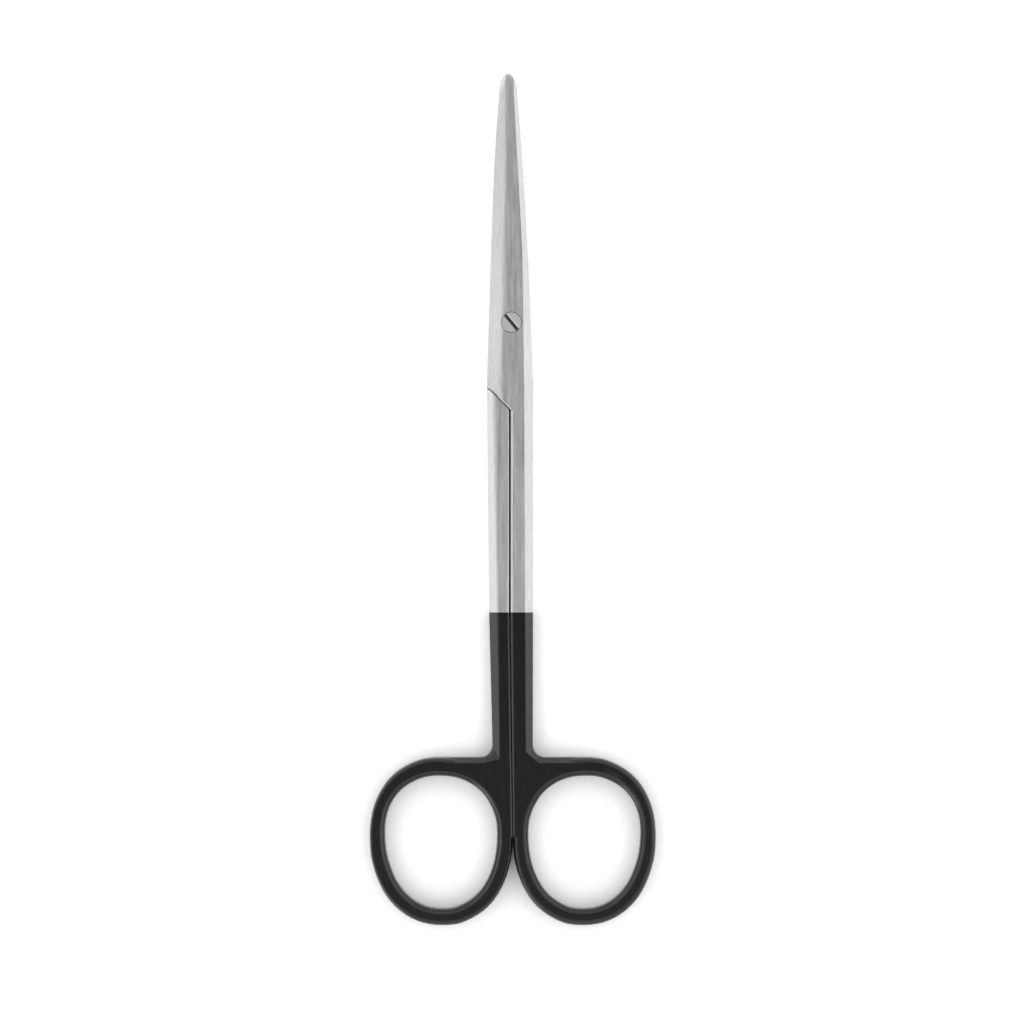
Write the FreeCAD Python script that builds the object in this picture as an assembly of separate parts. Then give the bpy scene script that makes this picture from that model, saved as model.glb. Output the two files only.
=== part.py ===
import FreeCAD, Part
import math
import os

# Straight dissecting scissors, closed, lying on their rear face. Millimetres.
# The pivot axis is Z through the origin, the tips point along +Y, and z = 0 is the face they rest on.
# Each half is modelled in its own view: outer face up, finger ring on the right, blade pointing away.
# The upper half is already in that view. The lower half is turned over about Y afterwards.

# Overall
THICKNESS = 4.0
TIP_Y = 42.45
BLADE_START_Y = -11.0
NOSE_START_Y = 39.0

# Outline of the closed pair at the joint, left and right of the pivot, and how it narrows to the nose.
# A side stands off by joint - t * (taper + belly * t ** power), where t runs from 0 to 1 along the blade.
LEFT_JOINT = 4.2
LEFT_TAPER = 1.5
LEFT_BELLY = 0.6
LEFT_POWER = 4
RIGHT_JOINT = 3.69
RIGHT_TAPER = 1.75
RIGHT_BELLY = 0.93
RIGHT_POWER = 1.5
UNDER_BLADE_INSET = 0.06

# Blade section
NOSE_THICKNESS = 0.95
TAPER_START_Y = 1.5
TAPER_POWER = 1.15
EDGE_LAND = 0.06
EDGE_START_Y = 7.0
FACET_WIDTH = 0.88
FACET_FADE = 0.33
FACET_FULL_Y = 14.0
SPINE_HEIGHT_JOINT = 0.75
SPINE_HEIGHT_NOSE = 0.4
BEVEL_WIDTH = 2.5
BEVEL_TAPER = 0.45
BEVEL_FADE = 1.0
FADE_POWER = 6
ROLL_RADIUS_JOINT = 2.4
ROLL_RADIUS_NOSE = 1.5
NOSE_THINNING = 0.35
NOSE_LAST_TURN = 84.0
NOSE_EDGE_BEVEL = 0.12
NOSE_BEVEL_SHARE = 0.2

# Hollow grinding of the inner faces
HOLLOW_DEPTH = 0.12
HOLLOW_START_Y = 8.0
HOLLOW_END_Y = 38.0
HOLLOW_EDGE_MARGIN = 0.3
HOLLOW_SPINE_MARGIN = 0.45
HOLLOW_RUN_OUT = 0.06

# Lap joint
LAP_GAP = 0.06
SHOULDER_TOP_Y = -11.22
SHOULDER_BOTTOM_Y = -14.85
SHOULDER_LEAD = 0.46
SHOULDER_LEAD_DROP = 0.16
SHOULDER_GAP = 0.2
SHOULDER_EDGE_WIDTH = 0.2
SHOULDER_EDGE_DEPTH = 0.13
STEM_END_Y = -15.0
GRINDING_ALLOWANCE = 0.01

# Shanks
PARTING_X_JOINT = -0.28
PARTING_X_RING = 0.23
SHANK_BEND_Y = -49.2
SHANK_GAP = 0.3
RING_GAP = 0.1
UPPER_SHANK_BEND_WIDTH = 3.81
UPPER_SHANK_END_WIDTH = 3.53
LOWER_SHANK_BEND_WIDTH = 3.36
LOWER_SHANK_END_WIDTH = 3.15
SHANK_ROLL_JOINT = 1.7
SHANK_ROLL_RING = 0.3

# Chamfers of the shank, each width given at the joint, at the bend and at the ring
SHANK_CHAMFER_DEPTH = 1.0
FRONT_CHAMFER = (1.5, 1.34, 1.18)
REAR_CHAMFER = (1.15, 1.46, 1.2)
INNER_FRONT_CHAMFER = (0.38, 0.32, 0.27)
INNER_REAR_CHAMFER = (0.14, 0.2, 0.27)
INNER_CHAMFER_SLOPE = 34.0

# Finger rings: a rounded oval, with its own height above and below its widest line
RING_WIDE_Y = -87.5
RING_HALF_WIDTH = 12.15
RING_TOP_Y = -74.0
RING_BOTTOM_Y = -102.55
RING_FULLNESS = 2.15
RING_LEAN = 0.17
RING_FRONT_SIDE = 0.85
RING_FRONT_END = 1.0
RING_REAR_SIDE = 0.45
RING_REAR_END = 0.9
WEB_TOP_Y = -71.5
WEB_FRONT_CORNER_Y = -73.0
WEB_REAR_CORNER_Y = -74.2
WEB_FILLET = 2.15
WEB_BEVEL = 0.9
WEB_FRONT_RUN = 1.0
WEB_REAR_RUN = 1.5

# Finger holes, placed from the ring's middle
HOLE_WIDE_Y = -86.8
HOLE_HALF_WIDTH = 9.53
HOLE_TOP_Y = -77.13
HOLE_BOTTOM_Y = -99.75
HOLE_FRONT_FLARE = 1.05
HOLE_REAR_FLARE = 0.85
HOLE_FLARE_DEPTH = 1.15
HOLE_FLARE_TURN = 58.0

# Pivot screw
SCREW_RADIUS = 1.1
HEAD_RADIUS = 1.76
HEAD_RIM = 0.4
HEAD_EDGE_BREAK = 0.06
SLOT_WIDTH = 0.58
SLOT_DEPTH = 0.6
SLOT_ANGLE = -50.3
SCREW_END_RECESS = 0.1
RUNNING_CLEARANCE = 0.04
THREAD_CLEARANCE = 0.02

# Worked out from the sizes above
MID_Z = THICKNESS / 2
INNER_Z = MID_Z + LAP_GAP / 2
BEYOND = 1.0
QUADRANT_POINTS = 5
BLADE_STATIONS = 17
HOLLOW_STATIONS = 6
NOSE_STEPS = 8
RIM_STEPS = 5
FLARE_STEPS = 4


class Half:
    """The sizes in which the halves differ, each in its own view."""

    def __init__(self, side, bend_width, end_width):
        inset = UNDER_BLADE_INSET if side < 0 else 0.0
        left = (LEFT_JOINT - inset, LEFT_TAPER, LEFT_BELLY, LEFT_POWER)
        right = (RIGHT_JOINT - inset, RIGHT_TAPER, RIGHT_BELLY, RIGHT_POWER)
        self.edge_side = right if side > 0 else left
        self.spine_side = left if side > 0 else right
        self.mate_spine = (RIGHT_JOINT if side > 0 else LEFT_JOINT) - inset
        self.parting_joint = side * PARTING_X_JOINT
        self.parting_ring = side * PARTING_X_RING
        self.outer_joint = self.edge_side[0]
        self.bend_width = bend_width
        self.end_width = end_width

    def inner_x(self, y):
        """The shank's inner side: straight to the bend, then leaning towards the ring."""
        top = self.parting_joint + SHANK_GAP / 2
        ring = self.parting_ring + RING_GAP / 2
        return top + (ring - top) * ramp(y, SHANK_BEND_Y, RING_WIDE_Y)

    def outer_x(self, y):
        """The shank's outer side, narrowing slowly from the joint to the ring."""
        bend = self.inner_x(SHANK_BEND_Y) + self.bend_width
        end = self.inner_x(WEB_TOP_Y) + self.end_width
        if y > SHANK_BEND_Y:
            return self.outer_joint + (bend - self.outer_joint) * ramp(y, STEM_END_Y, SHANK_BEND_Y)
        return bend + (end - bend) * (y - SHANK_BEND_Y) / (WEB_TOP_Y - SHANK_BEND_Y)

    def ring_x(self):
        """Middle of the finger ring."""
        return self.parting_ring + RING_GAP / 2 + RING_HALF_WIDTH


def vec(x, y, z):
    return FreeCAD.Vector(x, y, z)


def ramp(value, start, end):
    """0 before start, 1 after end, straight between."""
    return min(1.0, max(0.0, (value - start) / (end - start)))


def ease(value, start, end):
    """0 before start, 1 after end, with a soft start and finish."""
    t = ramp(value, start, end)
    return t * t * (3 - 2 * t)


def along_shank(sizes, y, ring_y):
    """A size of the shank at y, from its values at the joint, at the bend and at ring_y."""
    joint, bend, ring = sizes
    upper = joint + (bend - joint) * ramp(y, STEM_END_Y, SHANK_BEND_Y)
    return upper + (ring - bend) * ramp(y, SHANK_BEND_Y, ring_y)


def prism(points, low, high):
    """Upright prism over a polygon of (x, y) points, from z = low to z = high."""
    corners = [vec(x, y, low) for x, y in points]
    wire = Part.makePolygon(corners + corners[:1])
    return Part.Face(wire).extrude(vec(0, 0, high - low))


def slab(low, high):
    """Everything between two heights, wider than the scissors."""
    reach = 2 * (TIP_Y - RING_BOTTOM_Y)
    return Part.makeBox(2 * reach, 2 * reach, high - low, vec(-reach, -reach, low))


def side_offset(side, t):
    """How far a blade side stands off the pivot line."""
    joint, taper, belly, power = side
    return joint - t * (taper + belly * t ** power)


def blade_sizes(half, y):
    """The blade section's sizes at y: both sides, bevel and facet widths, and heights."""
    t = ramp(y, BLADE_START_Y, NOSE_START_Y)
    fade = t ** FADE_POWER
    full_height = THICKNESS + GRINDING_ALLOWANCE - INNER_Z
    joint_wall = THICKNESS - SHANK_CHAMFER_DEPTH - INNER_Z
    thin = ramp(y, TAPER_START_Y, NOSE_START_Y) ** TAPER_POWER
    facet_joint = FRONT_CHAMFER[0]
    facet_blade = FACET_WIDTH - FACET_FADE * fade
    return {
        "edge": side_offset(half.edge_side, t),
        "spine": -side_offset(half.spine_side, t),
        "bevel": BEVEL_WIDTH - BEVEL_TAPER * t - BEVEL_FADE * fade,
        "facet": facet_joint + (facet_blade - facet_joint) * ease(y, BLADE_START_Y, FACET_FULL_Y),
        "height": full_height + (NOSE_THICKNESS - full_height) * thin,
        "wall": joint_wall + (EDGE_LAND - joint_wall) * ease(y, BLADE_START_Y, EDGE_START_Y),
        "spine_height": SPINE_HEIGHT_JOINT + (SPINE_HEIGHT_NOSE - SPINE_HEIGHT_JOINT) * t,
        "roll": ROLL_RADIUS_JOINT + (ROLL_RADIUS_NOSE - ROLL_RADIUS_JOINT) * t,
    }


def upper_path(y, size):
    """Edges over a blade section's top: cutting edge, facet, flat, rolled ridge, bevel, spine."""
    top = INNER_Z + size["height"]
    ridge = size["spine"] + size["bevel"]
    drop = size["height"] - size["spine_height"]
    slope = math.atan2(drop, size["bevel"])
    reach = size["roll"] * math.tan(slope / 2)
    half_turn = slope / 2
    roll_start = vec(ridge + reach, y, top)
    roll_end = vec(ridge - reach * math.cos(slope), y, top - reach * math.sin(slope))
    roll_mid = vec(
        roll_start.x - size["roll"] * math.sin(half_turn),
        y,
        top - size["roll"] * (1 - math.cos(half_turn)),
    )
    wall_top = vec(size["edge"], y, INNER_Z + size["wall"])
    facet_top = vec(size["edge"] - size["facet"], y, top)
    spine_top = vec(size["spine"], y, INNER_Z + size["spine_height"])
    return [
        Part.makeLine(wall_top, facet_top),
        Part.makeLine(facet_top, roll_start),
        Part.Arc(roll_start, roll_mid, roll_end).toShape(),
        Part.makeLine(roll_end, spine_top),
    ]


def blade_wire(y, size):
    """Closed blade section at y. It starts below the inner face, which is ground flat later."""
    low = INNER_Z - LAP_GAP
    path = upper_path(y, size)
    start = path[0].Vertexes[0].Point
    end = path[-1].Vertexes[-1].Point
    corners = [end, vec(size["spine"], y, low), vec(size["edge"], y, low), start]
    lines = [Part.makeLine(a, b) for a, b in zip(corners, corners[1:])]
    return Part.Wire(path + lines)


def nose_sizes(half, turn):
    """The blade section inside the rounded nose, turn degrees round from its start.
    Both ridges run straight on, and the bevel and the facet narrow against them."""
    size = blade_sizes(half, NOSE_START_Y)
    shrink = math.cos(math.radians(turn))
    height = 1 - NOSE_THINNING * (1 - shrink)
    middle = (size["edge"] + size["spine"]) / 2
    edge = middle + (size["edge"] - middle) * shrink
    spine = middle + (size["spine"] - middle) * shrink
    least = min(NOSE_EDGE_BEVEL, (edge - spine) * NOSE_BEVEL_SHARE)
    bevel = max(least, size["bevel"] - (spine - size["spine"]))
    return {
        "edge": edge,
        "spine": spine,
        "bevel": bevel,
        "facet": max(least, size["facet"] - (size["edge"] - edge)),
        "height": size["height"] * height,
        "wall": size["wall"] * height,
        "spine_height": size["spine_height"] * height,
        "roll": size["roll"] * shrink * bevel / size["bevel"],
    }


def blade(half):
    """Blade with its cutting facet, rolled spine bevel and rounded nose, from the joint to the tip."""
    step = (NOSE_START_Y - BLADE_START_Y) / (BLADE_STATIONS - 1)
    places = [BLADE_START_Y + step * i for i in range(BLADE_STATIONS)]
    main = Part.makeLoft([blade_wire(y, blade_sizes(half, y)) for y in places], True, False)
    reach = (TIP_Y - NOSE_START_Y) / math.sin(math.radians(NOSE_LAST_TURN))
    wires = []
    for index in range(NOSE_STEPS + 1):
        turn = NOSE_LAST_TURN * index / NOSE_STEPS
        y = NOSE_START_Y + reach * math.sin(math.radians(turn))
        wires.append(blade_wire(y, nose_sizes(half, turn)))
    nose = Part.makeLoft(wires, True, True)
    return main.fuse(nose).common(slab(INNER_Z, THICKNESS))


def hollow(half):
    """The shallow hollow that is ground into the blade's inner face, as the space it leaves."""
    low = INNER_Z - LAP_GAP
    wires = []
    for index in range(HOLLOW_STATIONS):
        share = index / (HOLLOW_STATIONS - 1)
        y = HOLLOW_START_Y + (HOLLOW_END_Y - HOLLOW_START_Y) * share
        size = blade_sizes(half, y)
        right = size["edge"] - HOLLOW_EDGE_MARGIN
        left = size["spine"] + HOLLOW_SPINE_MARGIN
        run = HOLLOW_RUN_OUT + (1 - 2 * HOLLOW_RUN_OUT) * share
        depth = HOLLOW_DEPTH * math.sqrt(math.sin(math.pi * run))
        a = vec(left, y, INNER_Z)
        b = vec(right, y, INNER_Z)
        crown = vec((left + right) / 2, y, INNER_Z + depth)
        below = [b, vec(right, y, low), vec(left, y, low), a]
        lines = [Part.makeLine(p, q) for p, q in zip(below, below[1:])]
        wires.append(Part.Wire([Part.Arc(a, crown, b).toShape()] + lines))
    return Part.makeLoft(wires, True, False)


def rear_ridge(outer, y):
    """Rolled ridge and chamfer along the outer side's rear, from the rear face out to the side."""
    roll = SHANK_ROLL_JOINT + (SHANK_ROLL_RING - SHANK_ROLL_JOINT) * ramp(y, STEM_END_Y, WEB_TOP_Y)
    width = along_shank(REAR_CHAMFER, y, WEB_TOP_Y)
    slope = math.atan2(SHANK_CHAMFER_DEPTH, width)
    reach = roll * math.tan(slope / 2)
    ridge = outer - width
    start = vec(ridge - reach, y, 0)
    middle = vec(start.x + roll * math.sin(slope / 2), y, roll * (1 - math.cos(slope / 2)))
    end = vec(ridge + reach * math.cos(slope), y, reach * math.sin(slope))
    side = vec(outer, y, SHANK_CHAMFER_DEPTH)
    return [Part.Arc(start, middle, end).toShape(), Part.makeLine(end, side)]


def shank_wire(half, y):
    """Closed shank section: chamfered along its outer side, crisp in front and rolled at the rear."""
    left = half.inner_x(y)
    right = half.outer_x(y)
    rear = rear_ridge(right, y)
    corners = [
        rear[-1].Vertexes[-1].Point,
        vec(right, y, THICKNESS - SHANK_CHAMFER_DEPTH),
        vec(right - along_shank(FRONT_CHAMFER, y, WEB_TOP_Y), y, THICKNESS),
        vec(left, y, THICKNESS),
        vec(left, y, 0),
        rear[0].Vertexes[0].Point,
    ]
    return Part.Wire(rear + [Part.makeLine(a, b) for a, b in zip(corners, corners[1:])])


def shank(half):
    """Shank from the joint to the ring, in two straight lengths that meet at the bend."""
    upper = Part.makeLoft([shank_wire(half, STEM_END_Y), shank_wire(half, SHANK_BEND_Y)], True, True)
    lower = Part.makeLoft([shank_wire(half, SHANK_BEND_Y), shank_wire(half, WEB_TOP_Y)], True, True)
    return upper.fuse(lower)


def inner_chamfers(half):
    """The small chamfers along the side that faces the other half, as the pieces to cut away."""
    ends = [STEM_END_Y, SHANK_BEND_Y, RING_WIDE_Y]
    faces = [(0, 1, INNER_REAR_CHAMFER), (THICKNESS, -1, INNER_FRONT_CHAMFER)]
    fall = math.tan(math.radians(INNER_CHAMFER_SLOPE))
    pieces = []
    for top, bottom in zip(ends, ends[1:]):
        for face, inward, sizes in faces:
            wires = []
            for y in (top, bottom):
                x = half.inner_x(y)
                width = along_shank(sizes, y, RING_WIDE_Y)
                corners = [
                    vec(x + 2 * width, y, face - inward * width * fall),
                    vec(x - width, y, face - inward * width * fall),
                    vec(x - width, y, face + inward * 2 * width * fall),
                ]
                wires.append(Part.makePolygon(corners + corners[:1]))
            pieces.append(Part.makeLoft(wires, True, True))
    return pieces


def shoulder_line(spine, parting, shift):
    """Three points on a shoulder, moved along +Y by shift: a short lead across the edge and then the
    diagonal, run out past both ends."""
    inward = math.copysign(1, parting - spine)
    bend = (spine + inward * SHOULDER_LEAD, SHOULDER_TOP_Y - SHOULDER_LEAD_DROP)
    lead_slope = SHOULDER_LEAD_DROP / SHOULDER_LEAD
    slope = (SHOULDER_BOTTOM_Y - bend[1]) / (parting - bend[0])
    start = (spine - inward * BEYOND, SHOULDER_TOP_Y + lead_slope * BEYOND)
    end = (parting + inward * BEYOND, SHOULDER_BOTTOM_Y + slope * inward * BEYOND)
    return [(x, y + shift) for x, y in (start, bend, end)]


def shoulder_shift(width):
    """How far half the gap moves a diagonal shoulder of this width along Y."""
    run = width - SHOULDER_LEAD
    drop = SHOULDER_TOP_Y - SHOULDER_LEAD_DROP - SHOULDER_BOTTOM_Y
    return SHOULDER_GAP / 2 * math.hypot(run, drop) / run


def stem(half):
    """Joint block: the lap and the head of the shank in one, before its shoulders are cut."""
    size = blade_sizes(half, BLADE_START_Y)
    y = BLADE_START_Y
    path = upper_path(y, size)
    rear = rear_ridge(size["edge"], y)
    inner = half.inner_x(STEM_END_Y)
    corners = [
        path[-1].Vertexes[-1].Point,
        vec(size["spine"], y, INNER_Z),
        vec(inner, y, INNER_Z),
        vec(inner, y, 0),
        rear[0].Vertexes[0].Point,
    ]
    lines = [Part.makeLine(a, b) for a, b in zip(corners, corners[1:])]
    lines.append(Part.makeLine(rear[-1].Vertexes[-1].Point, path[0].Vertexes[0].Point))
    block = Part.Face(Part.Wire(path + lines + rear)).extrude(vec(0, STEM_END_Y - BLADE_START_Y, 0))
    return block.common(slab(0, THICKNESS))


def shoulder_edge(bend, meet):
    """The small chamfer along a diagonal shoulder's outer edge, as the piece to cut away."""
    along = vec(meet[0] - bend[0], meet[1] - bend[1], 0)
    inward = vec(-along.y, along.x, 0).normalize()
    foot = vec(bend[0], bend[1], THICKNESS - SHOULDER_EDGE_DEPTH)
    rise = vec(0, 0, 2 * SHOULDER_EDGE_DEPTH)
    corners = [foot - inward * SHOULDER_EDGE_WIDTH, foot, foot + inward * 2 * SHOULDER_EDGE_WIDTH + rise]
    corners.append(corners[0] + rise)
    return Part.Face(Part.makePolygon(corners + corners[:1])).extrude(along)


def own_shoulder(half):
    """What is cut away beyond this half's own lap, on its outer side."""
    spine = -half.spine_side[0]
    shift = shoulder_shift(half.parting_joint - spine)
    start, bend, end = shoulder_line(spine, half.parting_joint, shift)
    inner = half.inner_x(STEM_END_Y)
    t = (inner - bend[0]) / (end[0] - bend[0])
    meet = (inner, bend[1] + t * (end[1] - bend[1]))
    floor = STEM_END_Y - BEYOND
    corners = [start, bend, meet, (inner, floor), (start[0], floor)]
    cut = prism(corners, INNER_Z - BEYOND, THICKNESS + BEYOND)
    return cut.fuse(shoulder_edge(bend, meet))


def mate_recess(half):
    """What is cut away under this half's lap, to take the lap of its mate."""
    shift = -shoulder_shift(half.mate_spine - half.parting_joint)
    start, bend, end = shoulder_line(half.mate_spine, half.parting_joint, shift)
    top = BLADE_START_Y + BEYOND
    return prism([end, bend, start, (start[0], top), (end[0], top)], -BEYOND, INNER_Z)


def oval_wire(middle, wide_y, half_width, top_y, bottom_y, z):
    """Closed rounded oval in four quarters, its foot leaning a little towards the other ring."""
    lean = vec(RING_LEAN, (top_y - bottom_y) / 2, 0)
    tangents = [lean, vec(-1, 0, 0), lean * -1, vec(1, 0, 0), lean]
    quarters = []
    for quarter in range(4):
        points = []
        for index in range(QUADRANT_POINTS + 1):
            turn = math.pi / 2 * (quarter + index / QUADRANT_POINTS)
            cosine = round(math.cos(turn), 12)
            sine = round(math.sin(turn), 12)
            across = math.copysign(abs(cosine) ** (2 / RING_FULLNESS), cosine)
            along = math.copysign(abs(sine) ** (2 / RING_FULLNESS), sine)
            height = top_y - wide_y if sine > 0 else wide_y - bottom_y
            x = middle + half_width * across + RING_LEAN * along
            points.append(vec(x, wide_y + height * along, z))
        curve = Part.BSplineCurve()
        curve.interpolate(
            points,
            Parameters=[index / QUADRANT_POINTS for index in range(QUADRANT_POINTS + 1)],
            InitialTangent=tangents[quarter],
            FinalTangent=tangents[quarter + 1],
        )
        quarters.append(curve.toShape())
    return Part.Wire(quarters)


def ring_wire(half, side, end, z):
    """Outer oval of the ring, drawn in by side at its sides and by end at its ends."""
    width = RING_HALF_WIDTH - side
    return oval_wire(half.ring_x(), RING_WIDE_Y, width, RING_TOP_Y - end, RING_BOTTOM_Y + end, z)


def ring(half):
    """Solid oval of the finger ring with rounded rims, before its hole."""
    front = []
    rear = []
    for index in range(RIM_STEPS + 1):
        turn = math.pi / 2 * index / RIM_STEPS
        rise = SHANK_CHAMFER_DEPTH * (1 - math.sin(turn))
        inset = 1 - math.cos(turn)
        front.append(ring_wire(half, inset * RING_FRONT_SIDE, inset * RING_FRONT_END, THICKNESS - rise))
        rear.append(ring_wire(half, inset * RING_REAR_SIDE, inset * RING_REAR_END, rise))
    band = Part.Face(ring_wire(half, 0, 0, SHANK_CHAMFER_DEPTH))
    band = band.extrude(vec(0, 0, THICKNESS - 2 * SHANK_CHAMFER_DEPTH))
    return band.fuse([Part.makeLoft(front, True, True), Part.makeLoft(rear, True, True)])


def web_wire(half, z, inset=0.0, corner_y=0.0, run=0.0):
    """The web's outline at one height. With an inset it is drawn in, and a straight corner that
    starts at corner_y runs from the shank's chamfer to the ring's narrower bevel."""
    side = half.outer_x(WEB_TOP_Y)
    middle = half.ring_x() + RING_LEAN
    bulge = WEB_FILLET * (1 - math.sqrt(0.5))
    if inset:
        inner = side - inset
        corner = vec(inner, corner_y, z)
        top = RING_TOP_Y - WEB_BEVEL
        foot = vec(side + run, top, z)
        turn = Part.makeLine(corner, foot)
    else:
        inner = side
        corner = vec(side, RING_TOP_Y + WEB_FILLET, z)
        top = RING_TOP_Y
        foot = vec(side + WEB_FILLET, top, z)
        turn = Part.Arc(corner, vec(side + bulge, top + bulge, z), foot).toShape()
    corners = [
        foot,
        vec(middle, top, z),
        vec(middle, RING_WIDE_Y, z),
        vec(half.inner_x(RING_WIDE_Y), RING_WIDE_Y, z),
        vec(half.inner_x(WEB_TOP_Y), WEB_TOP_Y, z),
        vec(inner, WEB_TOP_Y, z),
    ]
    lines = [Part.makeLine(a, b) for a, b in zip(corners, corners[1:])]
    return Part.Wire([Part.makeLine(corners[-1], corner), turn] + lines)


def web(half):
    """Web that carries the shank into the ring, its bevel narrowing round the fillet."""
    low = SHANK_CHAMFER_DEPTH
    high = THICKNESS - SHANK_CHAMFER_DEPTH
    core = Part.Face(web_wire(half, low)).extrude(vec(0, 0, high - low))
    front_top = web_wire(half, THICKNESS, FRONT_CHAMFER[-1], WEB_FRONT_CORNER_Y, WEB_FRONT_RUN)
    rear_top = web_wire(half, 0, REAR_CHAMFER[-1], WEB_REAR_CORNER_Y, WEB_REAR_RUN)
    front = Part.makeLoft([web_wire(half, high), front_top], True, True)
    rear = Part.makeLoft([rear_top, web_wire(half, low)], True, True)
    return core.fuse([front, rear])


def hole_wire(half, flare, z):
    """Outline of the finger hole, opened out by flare."""
    width = HOLE_HALF_WIDTH + flare
    return oval_wire(half.ring_x(), HOLE_WIDE_Y, width, HOLE_TOP_Y + flare, HOLE_BOTTOM_Y - flare, z)


def finger_hole(half):
    """The finger hole with a flared mouth on both faces, as the pieces to cut away."""
    full = math.radians(HOLE_FLARE_TURN)
    front = []
    rear = []
    for index in range(FLARE_STEPS + 1):
        angle = full * index / FLARE_STEPS
        share = (1 - math.cos(angle)) / (1 - math.cos(full))
        rise = HOLE_FLARE_DEPTH * (1 - math.sin(angle) / math.sin(full))
        front.append(hole_wire(half, share * HOLE_FRONT_FLARE, THICKNESS - rise))
        rear.append(hole_wire(half, share * HOLE_REAR_FLARE, rise))
    through = Part.Face(hole_wire(half, 0, -BEYOND)).extrude(vec(0, 0, THICKNESS + 2 * BEYOND))
    above = Part.Face(hole_wire(half, HOLE_FRONT_FLARE, THICKNESS)).extrude(vec(0, 0, BEYOND))
    below = Part.Face(hole_wire(half, HOLE_REAR_FLARE, -BEYOND)).extrude(vec(0, 0, BEYOND))
    return [through, above, below, Part.makeLoft(front, True, True), Part.makeLoft(rear, True, True)]


def half_solid(half):
    """One half in its own view, before its pivot hole."""
    joint = stem(half).cut([own_shoulder(half), mate_recess(half)])
    handle = shank(half).fuse([web(half), ring(half)]).cut(inner_chamfers(half))
    body = blade(half).cut(hollow(half)).fuse([joint, handle])
    return body.cut(finger_hole(half)).removeSplitter()


def turned_over(shape):
    """Turn a shape over about the long axis at mid thickness."""
    return shape.rotated(vec(0, 0, MID_Z), vec(0, 1, 0), 180)


def head_taper(clearance):
    """Countersunk head: a straight rim over a cone that runs down to the shank."""
    rim = HEAD_RADIUS + clearance
    neck = SCREW_RADIUS + clearance
    rim_z = THICKNESS - HEAD_RIM
    cone = Part.makeCone(neck, rim, rim - neck, vec(0, 0, rim_z - (rim - neck)))
    return cone.fuse(Part.makeCylinder(rim, HEAD_RIM, vec(0, 0, rim_z)))


def upper_half():
    """Front half: ring on the right, countersunk and bored to swing on the screw."""
    body = half_solid(Half(1, UPPER_SHANK_BEND_WIDTH, UPPER_SHANK_END_WIDTH))
    bore = Part.makeCylinder(SCREW_RADIUS + RUNNING_CLEARANCE, THICKNESS + BEYOND)
    above = Part.makeCylinder(HEAD_RADIUS + RUNNING_CLEARANCE, BEYOND, vec(0, 0, THICKNESS))
    return body.cut([bore, head_taper(RUNNING_CLEARANCE), above])


def lower_half():
    """Rear half: ring on the left, with the threaded hole that holds the screw."""
    body = turned_over(half_solid(Half(-1, LOWER_SHANK_BEND_WIDTH, LOWER_SHANK_END_WIDTH)))
    thread = Part.makeCylinder(SCREW_RADIUS + THREAD_CLEARANCE, THICKNESS, vec(0, 0, -BEYOND))
    return body.cut(thread)


def pivot_screw():
    """Slotted countersunk screw, its head flush with the front and its end just inside the rear."""
    length = THICKNESS - SCREW_END_RECESS
    screw = head_taper(0).fuse(Part.makeCylinder(SCREW_RADIUS, length - HEAD_RIM, vec(0, 0, SCREW_END_RECESS)))
    screw = screw.removeSplitter()
    rims = [e for e in screw.Edges if abs(e.BoundBox.ZMin - THICKNESS) < HEAD_EDGE_BREAK / 2]
    screw = screw.makeChamfer(HEAD_EDGE_BREAK, rims)
    slot = Part.makeBox(
        2 * HEAD_RADIUS + 2 * BEYOND,
        SLOT_WIDTH,
        SLOT_DEPTH + BEYOND,
        vec(-HEAD_RADIUS - BEYOND, -SLOT_WIDTH / 2, THICKNESS - SLOT_DEPTH),
    )
    return screw.cut(slot.rotated(vec(0, 0, 0), vec(0, 0, 1), SLOT_ANGLE))


def main():
    """Write one STEP file for each piece."""
    os.makedirs("parts", exist_ok=True)
    pieces = {"upper_half": upper_half(), "lower_half": lower_half(), "pivot_screw": pivot_screw()}
    for name, shape in pieces.items():
        solid = shape.Solids[0] if len(shape.Solids) == 1 else shape
        solid.exportStep(os.path.join("parts", name + ".step"))
        print(name, "solids", len(shape.Solids), "volume", round(shape.Volume, 1), "valid", shape.isValid())


main()
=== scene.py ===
"""Looks of a pair of ring-handled dissecting scissors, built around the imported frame."""

import logging
import math
from dataclasses import dataclass
from enum import Enum

import bmesh
import bpy
from mathutils import Matrix, Vector


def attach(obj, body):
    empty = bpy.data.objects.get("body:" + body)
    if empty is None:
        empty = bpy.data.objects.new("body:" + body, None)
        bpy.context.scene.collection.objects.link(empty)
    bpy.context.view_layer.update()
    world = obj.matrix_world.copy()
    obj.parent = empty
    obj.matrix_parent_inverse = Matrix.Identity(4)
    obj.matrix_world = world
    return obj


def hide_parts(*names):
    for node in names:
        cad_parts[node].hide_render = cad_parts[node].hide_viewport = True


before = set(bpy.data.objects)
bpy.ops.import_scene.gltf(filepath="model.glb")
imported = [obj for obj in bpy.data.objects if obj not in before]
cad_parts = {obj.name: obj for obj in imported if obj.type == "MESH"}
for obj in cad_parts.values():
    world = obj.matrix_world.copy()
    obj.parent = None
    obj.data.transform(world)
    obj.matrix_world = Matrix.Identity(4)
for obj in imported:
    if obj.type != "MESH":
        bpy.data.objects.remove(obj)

LOG = logging.getLogger("scissors")

MM = 0.001
NOISE_RANGE = (0.28, 0.72)  # What a noise's factor mostly stays within.
WAVE_PHASE = 20.0  # Radians that a wave texture runs through in one unit at a scale of 1.

Colour = tuple[float, float, float]
Point = tuple[float, float, float]
Span = tuple[float, float]


class Body(Enum):
    """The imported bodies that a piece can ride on."""

    LOWER = "lower"
    UPPER = "upper"


class Slot(Enum):
    """The record's material slots."""

    FORGING = "forging_steel"
    SCREW = "screw_steel"


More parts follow.
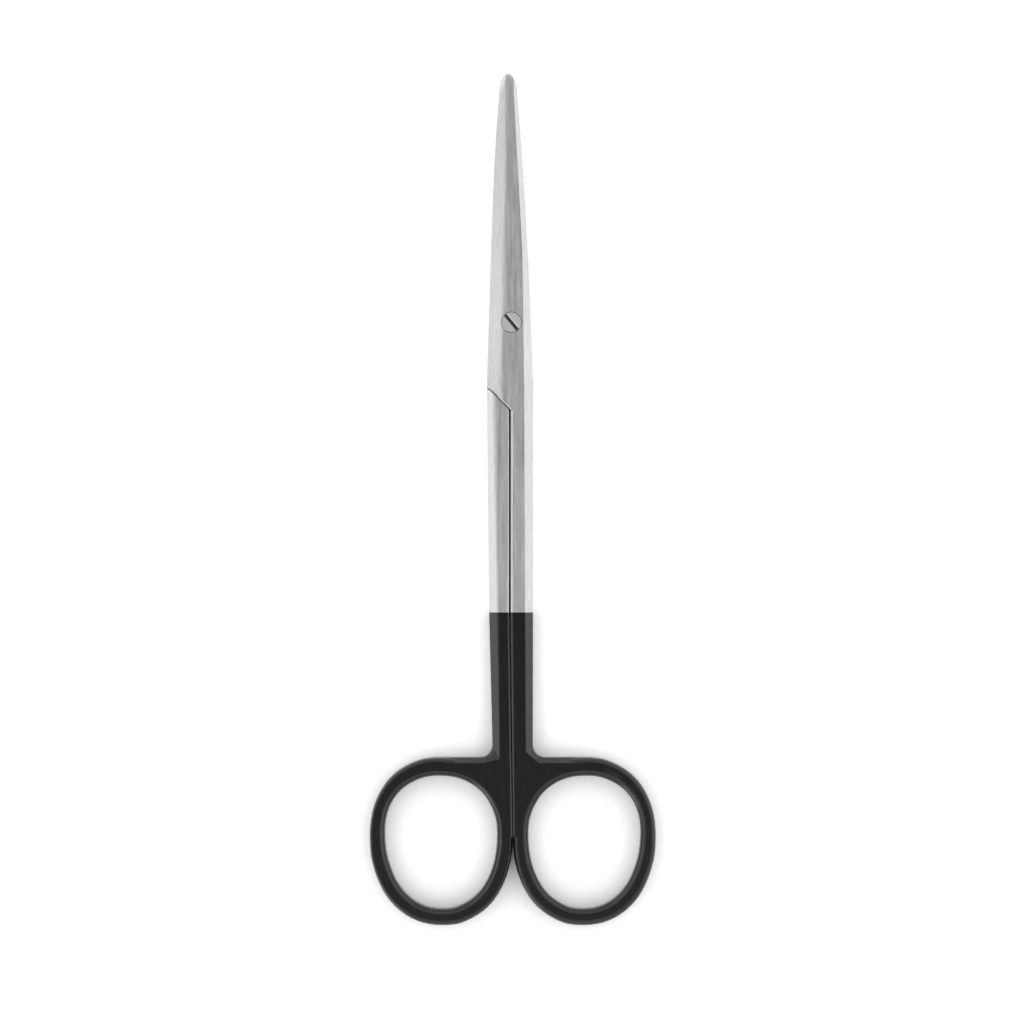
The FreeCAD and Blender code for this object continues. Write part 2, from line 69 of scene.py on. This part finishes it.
class Recipe:
    """A node material while it is written."""

    def __init__(self, name: str) -> None:
        """Starts an empty material.

        Args:
            name: the material's name.
        """
        self.material = bpy.data.materials.new(name)
        self.material.use_nodes = True
        self.tree = self.material.node_tree
        self.tree.nodes.clear()

    def add(self, kind: str, inputs: dict | None = None, **settings: object) -> bpy.types.Node:
        """Makes one node.

        Args:
            kind: the node's type, such as "ShaderNodeBump".
            inputs: socket names, each with a value or the socket that feeds it.
            **settings: the node's own properties.

        Returns:
            The new node.
        """
        node = self.tree.nodes.new(kind)
        for name, value in settings.items():
            setattr(node, name, value)
        for name, value in (inputs or {}).items():
            if isinstance(value, bpy.types.NodeSocket):
                self.tree.links.new(value, node.inputs[name])
            else:
                node.inputs[name].default_value = value
        return node

    def noise(self, cells: Point, detail: float, roughness: float) -> bpy.types.NodeSocket:
        """Makes a noise that lies still on the piece.

        Args:
            cells: the noise's cells to a metre along X, Y and Z.
            detail: how many finer layers it has.
            roughness: how strong those layers are.

        Returns:
            The noise's factor, from 0 to 1.
        """
        place = self.add("ShaderNodeTexCoord").outputs["Object"]
        stretched = self.add("ShaderNodeMapping", {"Vector": place, "Scale": cells})
        field = self.add(
            "ShaderNodeTexNoise",
            {"Vector": stretched.outputs["Vector"], "Scale": 1.0, "Detail": detail, "Roughness": roughness},
        )
        return field.outputs["Fac"]

    def spread(self, factor: bpy.types.NodeSocket, span: Span) -> bpy.types.NodeSocket:
        """Maps the middle range of a noise to a span of values.

        Args:
            factor: the noise.
            span: the values at the noise's usual lowest and highest.

        Returns:
            The mapped value.
        """
        return self.remap(factor, NOISE_RANGE, span[0], span[1])

    def remap(
        self, value: bpy.types.NodeSocket, source: Span, low: float, high: float | bpy.types.NodeSocket
    ) -> bpy.types.NodeSocket:
        """Maps one range of values to another, and holds it there.

        Args:
            value: the value.
            source: the range that it comes in.
            low: the value at that range's low end.
            high: the value at its high end, or the socket that feeds it.

        Returns:
            The mapped value.
        """
        mapped = self.add(
            "ShaderNodeMapRange",
            {"Value": value, "From Min": source[0], "From Max": source[1], "To Min": low, "To Max": high},
        )
        return mapped.outputs["Result"]

    def tinted(self, colour: Colour, shade: bpy.types.NodeSocket) -> bpy.types.NodeSocket:
        """Multiplies a colour by a shade.

        Args:
            colour: the colour, linear.
            shade: the shade, about 1.

        Returns:
            The colour socket.
        """
        mixed = self.add("ShaderNodeVectorMath", {0: colour, "Scale": shade}, operation="SCALE")
        return mixed.outputs["Vector"]

    def multiply(self, first: bpy.types.NodeSocket, second: bpy.types.NodeSocket) -> bpy.types.NodeSocket:
        """Returns the product of two values."""
        return self.add("ShaderNodeMath", {0: first, 1: second}, operation="MULTIPLY").outputs["Value"]

    def bump(self, height: bpy.types.NodeSocket, strength: float, distance: float) -> bpy.types.NodeSocket:
        """Makes a bumped normal.

        Args:
            height: the height, from 0 to 1.
            strength: how much of the bump shows.
            distance: the height of 1, in metres.

        Returns:
            The normal.
        """
        bumped = self.add("ShaderNodeBump", {"Height": height, "Strength": strength, "Distance": distance})
        return bumped.outputs["Normal"]

    def across(self) -> bpy.types.NodeSocket:
        """Returns the piece's own X direction, across the grinding, as a tangent."""
        turned = self.add(
            "ShaderNodeVectorTransform",
            {"Vector": (1.0, 0.0, 0.0)},
            vector_type="VECTOR",
            convert_from="OBJECT",
            convert_to="WORLD",
        )
        return turned.outputs["Vector"]

    def finish(self, shader: bpy.types.Node) -> bpy.types.Material:
        """Joins the shader to the output and returns the material."""
        self.add("ShaderNodeOutputMaterial", {"Surface": shader.outputs[0]})
        return self.material


@dataclass(frozen=True)
class GroundSteel:
    """Stainless steel ground lengthwise to a satin.

    Attributes:
        colour: the steel's own colour, linear.
        roughness: roughness of the smoothest and of the dullest streaks.
        anisotropy: how much wider the gloss is across the lines than along them.
        line_cells: cells of a fine grinding line to a metre.
        line_shades: shade of the darkest and of the lightest lines.
        line_height: height of a line, in metres.
        streak_cells: cells of a broad streak to a metre.
        streak_shades: shade of the darkest and of the lightest streaks.
    """

    colour: Colour = (0.635, 0.635, 0.64)
    roughness: Span = (0.35, 0.46)
    anisotropy: float = 0.5
    line_cells: Point = (9000.0, 420.0, 9000.0)
    line_shades: Span = (0.86, 1.12)
    line_height: float = 0.004 * MM
    streak_cells: Point = (2300.0, 110.0, 2300.0)
    streak_shades: Span = (0.93, 1.05)

    def material(self, name: str) -> bpy.types.Material:
        """Writes the finish as a node material.

        Args:
            name: the material's name.

        Returns:
            The material.
        """
        recipe = Recipe(name)
        lines = recipe.noise(self.line_cells, detail=3.0, roughness=0.6)
        streaks = recipe.noise(self.streak_cells, detail=2.0, roughness=0.5)
        shade = recipe.multiply(
            recipe.spread(lines, self.line_shades), recipe.spread(streaks, self.streak_shades)
        )
        shader = recipe.add(
            "ShaderNodeBsdfPrincipled",
            {
                "Base Color": recipe.tinted(self.colour, shade),
                "Metallic": 1.0,
                "Roughness": recipe.spread(streaks, self.roughness),
                "Anisotropic": self.anisotropy,
                "Tangent": recipe.across(),
                "Normal": recipe.bump(lines, strength=0.5, distance=self.line_height),
            },
        )
        return recipe.finish(shader)


@dataclass(frozen=True)
class TurnedSteel:
    """Satin steel of the screw, with faint turning rings on its end faces.

    Attributes:
        colour: the steel's own colour, linear.
        roughness: roughness of the smoothest and of the dullest spots.
        grain_cells: cells of its grain to a metre.
        grain_shades: shade of the darkest and of the lightest grain.
        ring_phase: how fast the turning rings follow each other, in radians to a metre of radius.
        ring_waver: how much they waver.
        ring_height: height of a turning ring, in metres.
    """

    colour: Colour = (0.68, 0.68, 0.685)
    roughness: Span = (0.42, 0.52)
    grain_cells: Point = (7000.0, 7000.0, 7000.0)
    grain_shades: Span = (0.95, 1.05)
    ring_phase: float = 5200.0
    ring_waver: float = 0.4
    ring_height: float = 0.002 * MM

    def material(self, name: str) -> bpy.types.Material:
        """Writes the finish as a node material.

        Args:
            name: the material's name.

        Returns:
            The material.
        """
        recipe = Recipe(name)
        grain = recipe.noise(self.grain_cells, detail=2.0, roughness=0.6)
        place = recipe.add("ShaderNodeTexCoord").outputs["Object"]
        rings = recipe.add(
            "ShaderNodeTexWave",
            {"Vector": place, "Scale": self.ring_phase / WAVE_PHASE, "Distortion": self.ring_waver},
            wave_type="RINGS",
            rings_direction="Z",
        )
        shader = recipe.add(
            "ShaderNodeBsdfPrincipled",
            {
                "Base Color": recipe.tinted(self.colour, recipe.spread(grain, self.grain_shades)),
                "Metallic": 1.0,
                "Roughness": recipe.spread(grain, self.roughness),
                "Normal": recipe.bump(rings.outputs["Fac"], strength=0.4, distance=self.ring_height),
            },
        )
        return recipe.finish(shader)


@dataclass(frozen=True)
class BlackCoat:
    """Hard black coating over the shanks and finger rings.

    Attributes:
        colour: the coating's own colour, linear.
        roughness: roughness of its smoothest and of its dullest spots.
        specular: strength of its reflection.
        grain_cells: cells of its faint grain to a metre.
        grain_shades: shade of the darkest and of the lightest grain.
        grain_height: height of the grain, in metres.
    """

    colour: Colour = (0.003, 0.003, 0.0032)
    roughness: Span = (0.2, 0.26)
    specular: float = 0.62
    grain_cells: Point = (2600.0, 700.0, 2600.0)
    grain_shades: Span = (0.8, 1.2)
    grain_height: float = 0.002 * MM

    def material(self, name: str) -> bpy.types.Material:
        """Writes the finish as a node material.

        Args:
            name: the material's name.

        Returns:
            The material.
        """
        recipe = Recipe(name)
        grain = recipe.noise(self.grain_cells, detail=2.0, roughness=0.5)
        shader = recipe.add(
            "ShaderNodeBsdfPrincipled",
            {
                "Base Color": recipe.tinted(self.colour, recipe.spread(grain, self.grain_shades)),
                "Roughness": recipe.spread(grain, self.roughness),
                "Specular IOR Level": self.specular,
                "Normal": recipe.bump(grain, strength=0.4, distance=self.grain_height),
            },
        )
        return recipe.finish(shader)


@dataclass(frozen=True)
class StudioPaper:
    """White paper under the scissors, which keeps their shadow, with a painted shade in narrow slits.

    Attributes:
        level: the paper's own white, for the light that it gives back.
        seen_level: the white that the camera and glossy surfaces see.
        painted_slit_shade: the darker white that they see of it at the bottom of a narrow slit, a painted
            shade.
        slit_reach: how near walls must stand to make a slit, in metres.
        slit_sky: the share of open sky that a narrow slit has, and from which it is no slit.
        slit_samples: rays to a point that look for such walls.
    """

    level: float = 0.93
    seen_level: float = 1.45
    painted_slit_shade: float = 0.3
    slit_reach: float = 3.0 * MM
    slit_sky: Span = (0.06, 0.16)
    slit_samples: int = 8

    def material(self, name: str) -> bpy.types.Material:
        """Writes the finish as a node material.

        Args:
            name: the material's name.

        Returns:
            The material.
        """
        recipe = Recipe(name)
        rays = recipe.add("ShaderNodeLightPath").outputs
        seen = recipe.add(
            "ShaderNodeMath", {0: rays["Is Camera Ray"], 1: rays["Is Glossy Ray"]}, operation="MAXIMUM"
        )
        # Painted shade: what the camera and glossy surfaces see of the paper drops to a darker level where
        # near walls hide most of the sky.
        openness = recipe.add(
            "ShaderNodeAmbientOcclusion", {"Distance": self.slit_reach}, samples=self.slit_samples
        )
        seen_white_and_slit_shade = recipe.remap(openness.outputs["AO"], self.slit_sky, self.painted_slit_shade, self.seen_level)
        white = recipe.remap(seen.outputs["Value"], (0.0, 1.0), self.level, seen_white_and_slit_shade)
        return recipe.finish(recipe.add("ShaderNodeBsdfDiffuse", {"Color": white}))


@dataclass(frozen=True)
class EdgeBreak:
    """How sharp edges are broken.

    Attributes:
        width: offset of the break, in metres.
        angle: the smallest angle between two faces that counts as an edge.
        segments: facets across the break.
        shortest: an edge shorter than this is left as it is, in metres.
    """

    width: float = 0.03 * MM
    angle: float = math.radians(29.0)
    segments: int = 3
    shortest: float = 0.12 * MM

    def crisp(self, mesh: bmesh.types.BMesh) -> list[bmesh.types.BMEdge]:
        """Returns the edges that are sharp and long enough to break."""
        edges = [edge for edge in mesh.edges if edge.is_manifold and edge.calc_length() > self.shortest]
        return [edge for edge in edges if edge.calc_face_angle() > self.angle]

    def cut(self, mesh: bmesh.types.BMesh, edges: list[bmesh.types.BMEdge]) -> None:
        """Breaks edges of a mesh.

        Args:
            mesh: the mesh, closed.
            edges: the edges to break.
        """
        bmesh.ops.bevel(
            mesh,
            geom=edges,
            offset=self.width,
            offset_type="OFFSET",
            segments=self.segments,
            profile=0.5,
            affect="EDGES",
            clamp_overlap=False,
            loop_slide=True,
            material=-1,
        )


@dataclass
class Forging:
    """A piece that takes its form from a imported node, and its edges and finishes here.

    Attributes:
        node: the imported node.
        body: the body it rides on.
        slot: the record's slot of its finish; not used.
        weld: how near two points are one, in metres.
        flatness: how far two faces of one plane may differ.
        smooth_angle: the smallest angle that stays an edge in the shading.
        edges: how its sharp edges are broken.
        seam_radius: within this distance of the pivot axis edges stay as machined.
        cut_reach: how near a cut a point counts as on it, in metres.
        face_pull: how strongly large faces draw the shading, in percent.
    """

    node: str
    body: Body
    slot: Slot
    weld: float = 0.004 * MM
    flatness: float = math.radians(0.2)
    smooth_angle: float = math.radians(31.0)
    edges: EdgeBreak = EdgeBreak()
    seam_radius: float = 1.95 * MM
    cut_reach: float = 0.0004 * MM
    face_pull: int = 80

    def blank(self) -> bmesh.types.BMesh:
        """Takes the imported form, with its triangles joined to whole faces.

        Returns:
            The closed mesh.
        """
        mesh = bmesh.new()
        mesh.from_mesh(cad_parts[self.node].data)
        bmesh.ops.remove_doubles(mesh, verts=mesh.verts, dist=self.weld)
        bmesh.ops.dissolve_limit(
            mesh,
            angle_limit=self.flatness,
            use_dissolve_boundaries=False,
            verts=mesh.verts,
            edges=mesh.edges,
            delimit=set(),
        )
        return mesh

    def shape(self, mesh: bmesh.types.BMesh) -> None:
        """Breaks the sharp edges of the blank.

        Args:
            mesh: the blank.
        """
        crisp = [edge for edge in self.edges.crisp(mesh) if self.off_axis(edge) > self.seam_radius]
        self.edges.cut(mesh, crisp)

    def off_axis(self, part: bmesh.types.BMEdge | bmesh.types.BMFace) -> float:
        """Returns how far the middle of an edge or a face lies from the pivot axis."""
        middle = sum((vert.co for vert in part.verts), Vector()) / len(part.verts)
        return middle.xy.length

    def dress(self, mesh: bmesh.types.BMesh, finishes: list[bpy.types.Material]) -> bpy.types.Object:
        """Makes the piece from its mesh.

        Args:
            mesh: the shaped mesh, which is freed.
            finishes: its materials, in the order of its face indices.

        Returns:
            The piece.
        """
        for face in mesh.faces:
            face.smooth = True
        for edge in mesh.edges:
            edge.smooth = not edge.is_manifold or edge.calc_face_angle() < self.smooth_angle
        name = f"{self.node}_dressed"
        data = bpy.data.meshes.new(name)
        mesh.to_mesh(data)
        mesh.free()
        for finish in finishes:
            data.materials.append(finish)
        piece = bpy.data.objects.new(name, data)
        bpy.context.scene.collection.objects.link(piece)
        shading = piece.modifiers.new("even_shading", "WEIGHTED_NORMAL")
        shading.keep_sharp = True
        shading.weight = self.face_pull
        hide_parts(self.node)
        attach(piece, self.body.value)
        return piece

    def build(self, finishes: list[bpy.types.Material]) -> bpy.types.Object:
        """Builds the piece.

        Args:
            finishes: its materials, in the order of its face indices.

        Returns:
            The piece.
        """
        mesh = self.blank()
        self.shape(mesh)
        return self.dress(mesh, finishes)


@dataclass
class Half(Forging):
    """A blade, its shank and its finger ring, forged in one.

    Attributes:
        coat_edge_y: the straight edge of the black coating, in metres.
        flank_facing: how squarely a face looks at the other half to be its flank.
        flank_reach: how far a flank lies from the parting line at most.
        flank_end_y: where the flanks end, at the rings' widest line.
        shoulder_y: where the shoulders of the lap end, towards the rings and towards the tips.
        upright: the steepest normal of a wall.
    """

    coat_edge_y: float = -49.3 * MM
    flank_facing: float = 0.72
    flank_reach: float = 1.0 * MM
    flank_end_y: float = -87.4 * MM
    shoulder_y: Span = (-15.5 * MM, -10.5 * MM)
    upright: float = 0.25

    def is_shaded_wall(self, face: bmesh.types.BMFace) -> bool:
        """Tells whether a face is a milled wall: a flank, a shoulder or the screw's countersink.

        Args:
            face: the face.

        Returns:
            Whether it takes the duller finish, which on bare steel has a darker colour: painted shade.
        """
        middle = face.calc_center_median()
        towards_mate = -1.0 if self.body is Body.UPPER else 1.0
        if face.normal.x * towards_mate > self.flank_facing:
            return abs(middle.x) < self.flank_reach and middle.y > self.flank_end_y
        if abs(face.normal.z) > self.upright:
            return False
        shoulder = self.shoulder_y[0] < middle.y < self.shoulder_y[1] and abs(face.normal.y) > self.upright
        return shoulder or self.off_axis(face) < self.seam_radius

    def shape(self, mesh: bmesh.types.BMesh) -> None:
        """Breaks the edges, and marks the coated faces and the walls that take painted shade.

        Args:
            mesh: the blank.
        """
        super().shape(mesh)
        bmesh.ops.bisect_plane(
            mesh,
            geom=[*mesh.verts, *mesh.edges, *mesh.faces],
            dist=self.cut_reach,
            plane_co=(0.0, self.coat_edge_y, 0.0),
            plane_no=(0.0, -1.0, 0.0),
        )
        for face in mesh.faces:
            coated = face.calc_center_median().y < self.coat_edge_y
            # Walls that face the other half, the lap's shoulders and the countersink: bare steel there is
            # painted darker, a painted shade; the coat there is duller and reflects less.
            face.material_index = (1 if coated else 0) + (2 if self.is_shaded_wall(face) else 0)


@dataclass
class Screw(Forging):
    """The slotted pivot screw.

    Attributes:
        head_top: height of its head's face.
        slot_side: the angle from +X to the slot's wall that has its edge eased.
        slot_wall: how far that wall lies from the screw's axis, in metres.
        ease_width: width of the eased edge, in metres.
        ease_depth: its depth.
        upright: the steepest normal of a wall.
        shaded_below: faces below this height take the slot's dark finish, a painted shade, in metres.
        shaded_rim_radius: from here outwards the head's edge takes the same painted shade.
    """

    head_top: float = 4.0 * MM
    smooth_angle: float = math.radians(20.0)
    slot_side: float = math.radians(39.7)
    slot_wall: float = 0.29 * MM
    ease_width: float = 0.15 * MM
    ease_depth: float = 0.085 * MM
    upright: float = 0.5
    shaded_below: float = 3.81 * MM
    shaded_rim_radius: float = 1.71 * MM

    def shape(self, mesh: bmesh.types.BMesh) -> None:
        """Eases one edge of the slot and marks the faces that take painted shade.

        Args:
            mesh: the blank.
        """
        foot = self.head_top - self.ease_depth
        side = Vector((math.cos(self.slot_side), math.sin(self.slot_side), 0.0))
        crown = [face for face in mesh.faces if face.calc_center_median().z > foot]
        rims = dict.fromkeys(part for face in crown for part in (*face.verts, *face.edges))
        bmesh.ops.bisect_plane(
            mesh,
            geom=[*crown, *rims],
            dist=self.cut_reach,
            plane_co=side * (self.slot_wall + self.ease_width),
            plane_no=side,
        )
        for vert in mesh.verts:
            if abs(vert.co.dot(side) - self.slot_wall) < self.weld and vert.co.z > foot:
                vert.co.z = foot
        mesh.normal_update()
        # Painted shade: the slot, the head's steep walls and its rim take a darker, duller steel.
        for face in mesh.faces:
            low = face.calc_center_median().z < self.shaded_below
            steep = abs(face.normal.z) < self.upright
            face.material_index = int(low or steep or self.off_axis(face) > self.shaded_rim_radius)


@dataclass
class Studio:
    """Floor, lamps, world and camera.

    Attributes:
        view_centre: what the middle of the picture shows, in metres.
        view_width: the width that the picture takes in at that height.
        lens: focal length, in millimetres.
        sensor: the sensor's width, in millimetres.
        floor_size: the side of the paper.
        lamp_place: where the right long lamp stands, from the middle of the view.
        lamp_size: a long lamp's length along the scissors and its height.
        lamp_power: power of a long lamp, in watts.
        key_place: where the small lamp stands, from the middle of the view.
        key_size: the small lamp's width and height.
        key_power: its power, in watts.
        sky_lean: how far the darkest part of the sky leans towards the tips.
        sky_levels: the world's light, as angles from straight above in degrees, each with its level.
    """

    view_centre: Point = (0.102 * MM, -32.232 * MM, 4.0 * MM)
    view_width: float = 173.986 * MM
    lens: float = 150.0
    sensor: float = 36.0
    floor_size: float = 40.0
    lamp_place: Point = (0.6, 0.12, 0.18)
    lamp_size: Span = (1.1, 0.17)
    lamp_power: float = 0.52
    key_place: Point = (-0.42, -0.42, 0.06)
    key_size: Span = (0.3, 0.1)
    key_power: float = 0.4
    sky_lean: float = math.radians(7.0)
    sky_levels: tuple[Span, ...] = (
        (3.0, 0.06),
        (9.0, 0.1),
        (13.0, 0.36),
        (19.0, 0.5),
        (34.0, 1.03),
        (58.0, 1.32),
        (74.0, 0.97),
        (88.0, 0.78),
    )

    def floor(self) -> bpy.types.Object:
        """Lays the paper that the scissors lie on."""
        mesh = bmesh.new()
        bmesh.ops.create_grid(mesh, x_segments=1, y_segments=1, size=self.floor_size / 2.0)
        data = bpy.data.meshes.new("floor")
        mesh.to_mesh(data)
        mesh.free()
        data.materials.append(StudioPaper().material("studio_paper"))
        paper = bpy.data.objects.new("floor", data)
        bpy.context.scene.collection.objects.link(paper)
        return paper

    def lamp(self, name: str, place: Point, size: Span, power: float) -> bpy.types.Object:
        """Stands a soft lamp that looks at the scissors.

        Args:
            name: the lamp's name.
            place: where it stands, from the middle of the view.
            size: its width along the floor and its height.
            power: its power, in watts.

        Returns:
            The lamp.
        """
        light = bpy.data.lights.new(name, "AREA")
        light.shape = "RECTANGLE"
        light.size, light.size_y = size
        light.energy = power
        lamp = bpy.data.objects.new(name, light)
        lamp.location = Vector(self.view_centre) + Vector(place)
        along = -Vector(place).normalized()
        across = along.cross(Vector((0.0, 0.0, 1.0))).normalized()
        lamp.matrix_world = Matrix.LocRotScale(
            lamp.location, Matrix((across, across.cross(along), -along)).transposed().to_quaternion(), None
        )
        lamp.visible_camera = False
        bpy.context.scene.collection.objects.link(lamp)
        return lamp

    def sky(self) -> bpy.types.World:
        """Makes a world that is brighter towards the horizon."""
        world = bpy.data.worlds.new("soft_room")
        world.use_nodes = True
        tree = world.node_tree
        tree.nodes.clear()
        direction = tree.nodes.new("ShaderNodeTexCoord")
        turn = tree.nodes.new("ShaderNodeVectorRotate")
        turn.rotation_type = "X_AXIS"
        turn.inputs["Angle"].default_value = self.sky_lean
        split = tree.nodes.new("ShaderNodeSeparateXYZ")
        tilt = tree.nodes.new("ShaderNodeMath")
        tilt.operation = "ARCCOSINE"
        share = tree.nodes.new("ShaderNodeMath")
        share.operation = "DIVIDE"
        share.inputs[1].default_value = math.radians(90.0)
        level = tree.nodes.new("ShaderNodeValToRGB")
        ramp = level.color_ramp
        ramp.interpolation = "B_SPLINE"
        for degrees, strength in self.sky_levels:
            stop = ramp.elements.new(degrees / 90.0)
            stop.color = (strength, strength, strength, 1.0)
        # A new ramp comes with a stop at each end.
        ramp.elements.remove(ramp.elements[0])
        ramp.elements.remove(ramp.elements[-1])
        light = tree.nodes.new("ShaderNodeBackground")
        out = tree.nodes.new("ShaderNodeOutputWorld")
        tree.links.new(direction.outputs["Generated"], turn.inputs["Vector"])
        tree.links.new(turn.outputs["Vector"], split.inputs[0])
        tree.links.new(split.outputs["Z"], tilt.inputs[0])
        tree.links.new(tilt.outputs[0], share.inputs[0])
        tree.links.new(share.outputs[0], level.inputs["Fac"])
        tree.links.new(level.outputs["Color"], light.inputs["Color"])
        tree.links.new(light.outputs[0], out.inputs["Surface"])
        bpy.context.scene.world = world
        return world

    def camera(self) -> bpy.types.Object:
        """Hangs the camera straight above, with the blades up in the picture."""
        data = bpy.data.cameras.new("camera")
        data.lens = self.lens
        data.sensor_width = self.sensor
        camera = bpy.data.objects.new("camera", data)
        distance = self.view_width * self.lens / self.sensor
        camera.location = Vector(self.view_centre) + Vector((0.0, 0.0, distance))
        bpy.context.scene.collection.objects.link(camera)
        bpy.context.scene.camera = camera
        return camera

    def build(self) -> None:
        """Sets up the whole studio."""
        self.floor()
        across, along, up = self.lamp_place
        self.lamp("left_lamp", (-across, along, up), self.lamp_size, self.lamp_power)
        self.lamp("right_lamp", self.lamp_place, self.lamp_size, self.lamp_power)
        self.lamp("key_lamp", self.key_place, self.key_size, self.key_power)
        self.sky()
        self.camera()
        bpy.context.scene.view_settings.view_transform = "Standard"


@dataclass
class Scissors:
    """The whole pair.

    Attributes:
        steel: finish of the blades and the bare shanks.
        coat: finish of the coated shanks and the rings.
        shaded_flank_steel: dull finish of the milled walls that look at each other, with a darker colour
            that paints the shade between the halves.
        flank_coat: the coating on such walls.
        screw_steel: finish of the screw.
        shaded_slot_steel: dull, darker steel of the screw's slot and rim, a painted shade.
    """

    steel: GroundSteel = GroundSteel()
    coat: BlackCoat = BlackCoat()
    # A darker colour for these walls: painted shade in the gap, the lap's shoulders and the countersink.
    shaded_flank_steel: GroundSteel = GroundSteel(colour=(0.36, 0.36, 0.365), roughness=(0.48, 0.58))
    flank_coat: BlackCoat = BlackCoat(roughness=(0.45, 0.55), specular=0.3)
    screw_steel: TurnedSteel = TurnedSteel()
    # A darker colour for the slot and the rim around the head: painted shade.
    shaded_slot_steel: TurnedSteel = TurnedSteel(colour=(0.13, 0.13, 0.13), roughness=(0.5, 0.6))

    def build(self) -> list[bpy.types.Object]:
        """Builds every piece of the pair.

        Returns:
            The pieces.
        """
        forged = [
            self.steel.material("ground_steel"),
            self.coat.material("black_coat"),
            self.shaded_flank_steel.material("shaded_flank_steel"),
            self.flank_coat.material("flank_coat"),
        ]
        turned = [self.screw_steel.material("turned_steel"), self.shaded_slot_steel.material("shaded_slot_steel")]
        return [
            Half("upper_half", Body.UPPER, Slot.FORGING).build(forged),
            Half("lower_half", Body.LOWER, Slot.FORGING).build(forged),
            Screw("pivot_screw", Body.LOWER, Slot.SCREW).build(turned),
        ]


def main() -> None:
    """Builds the scissors and the studio."""
    logging.basicConfig(level=logging.INFO, format="%(name)s: %(message)s")
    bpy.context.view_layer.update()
    for piece in Scissors().build():
        LOG.info("%s: %d faces", piece.name, len(piece.data.polygons))
    Studio().build()


if __name__ == "__main__":
    main()
